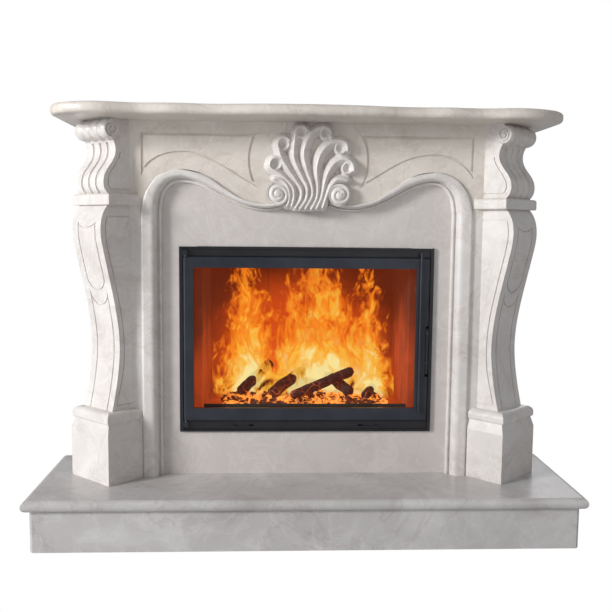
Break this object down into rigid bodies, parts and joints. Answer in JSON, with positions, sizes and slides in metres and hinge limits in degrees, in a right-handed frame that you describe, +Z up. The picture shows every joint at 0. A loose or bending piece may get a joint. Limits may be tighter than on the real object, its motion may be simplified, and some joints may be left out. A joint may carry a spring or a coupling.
{
  "type": "fireplace",
  "caption": "Carved marble fireplace with turned scroll legs, shell frieze, wavy shelf, raised hearth and a glass-door fire insert.",
  "frame": {"origin": "on the floor, on the centre line, in the plane of the insert's front rim", "axes": "+X to the right seen from the front, +Y back to the wall, +Z up"},
  "size_m": [1.573, 0.685, 1.232],
  "materials": {
    "marble": "polished warm beige-grey marble with soft veins",
    "slip_marble": "honed grey-beige marble",
    "masonry": "rough concrete block",
    "steel": "plain zinc-plated steel",
    "black_metal": "satin black heat-proof paint",
    "door_metal": "satin charcoal heat-proof paint",
    "body_metal": "matt grey heat-proof paint",
    "fireclay": "fired clay panel, smoke stained",
    "cast": "raw cast iron",
    "embers": "glowing coals and ash",
    "charred_wood": "charred split logs",
    "glass": "clear heat-proof glass",
    "seal_rope": "woven glass-fibre rope",
    "bright_steel": "polished steel bar",
    "slide_steel": "bare steel"
  },
  "bodies": {
    "root": {"arch_moulding_left": "marble", "arch_moulding_right": "marble", "ash_pan": "cast", "baffle": "fireclay", "base_moulding_left": "marble", "base_moulding_right": "marble", "bracket_screws": "steel", "capital_left": "marble", "capital_right": "marble", "corbel_left": "marble", "corbel_right": "marble", "core_blocks": "masonry", "dowel_pins": "steel", "ember_bed": "embers", "floor_bricks": "fireclay", "flue_collar": "body_metal", "frieze": "marble", "grate": "cast", "hearth_slab": "marble", "hinge_lugs": "black_metal", "hinge_pins": "steel", "insert_body": "body_metal", "insert_frame": "black_metal", "jamb_left": "marble", "jamb_right": "marble", "leg_left": "marble", "leg_right": "marble", "levelling_feet": "steel", "lining_back": "fireclay", "lining_left": "fireclay", "lining_right": "fireclay", "log_retainer": "black_metal", "logs": "charred_wood", "plinth_left": "marble", "plinth_right": "marble", "return_left": "marble", "return_right": "marble", "riser_front": "marble", "riser_left": "marble", "riser_right": "marble", "shelf": "marble", "shell_carving": "marble", "slip_bottom": "slip_marble", "slip_left": "slip_marble", "slip_right": "slip_marble", "slip_top": "slip_marble", "smoke_hood": "body_metal", "wall_brackets": "steel"},
    "door": {"door_frame": "door_metal", "door_glass": "glass", "glass_seal": "seal_rope", "glass_clips": "steel", "clip_screws": "steel", "door_seal": "seal_rope", "lever_pin": "steel", "door_bar": "bright_steel"},
    "lever": {"door_lever": "bright_steel"},
    "primary_slide": {"primary_air_slide": "slide_steel"},
    "secondary_slide": {"secondary_air_slide": "slide_steel"}
  },
  "joints": [
    {"name": "door_hinge", "type": "hinge", "parent": "root", "child": "door", "pos_m": [-0.3625, 0.002, 0.563], "axis": [0, 0, -1], "range_deg": [0, 110]},
    {"name": "lever_pivot", "type": "hinge", "parent": "door", "child": "lever", "pos_m": [0.3635, 0.001, 0.494], "axis": [1, 0, 0], "range_deg": [0, 20]},
    {"name": "primary_air", "type": "slide", "parent": "root", "child": "primary_slide", "axis": [1, 0, 0], "range_m": [0, 0.05]},
    {"name": "secondary_air", "type": "slide", "parent": "root", "child": "secondary_slide", "axis": [-1, 0, 0], "range_m": [0, 0.05]}
  ]
}
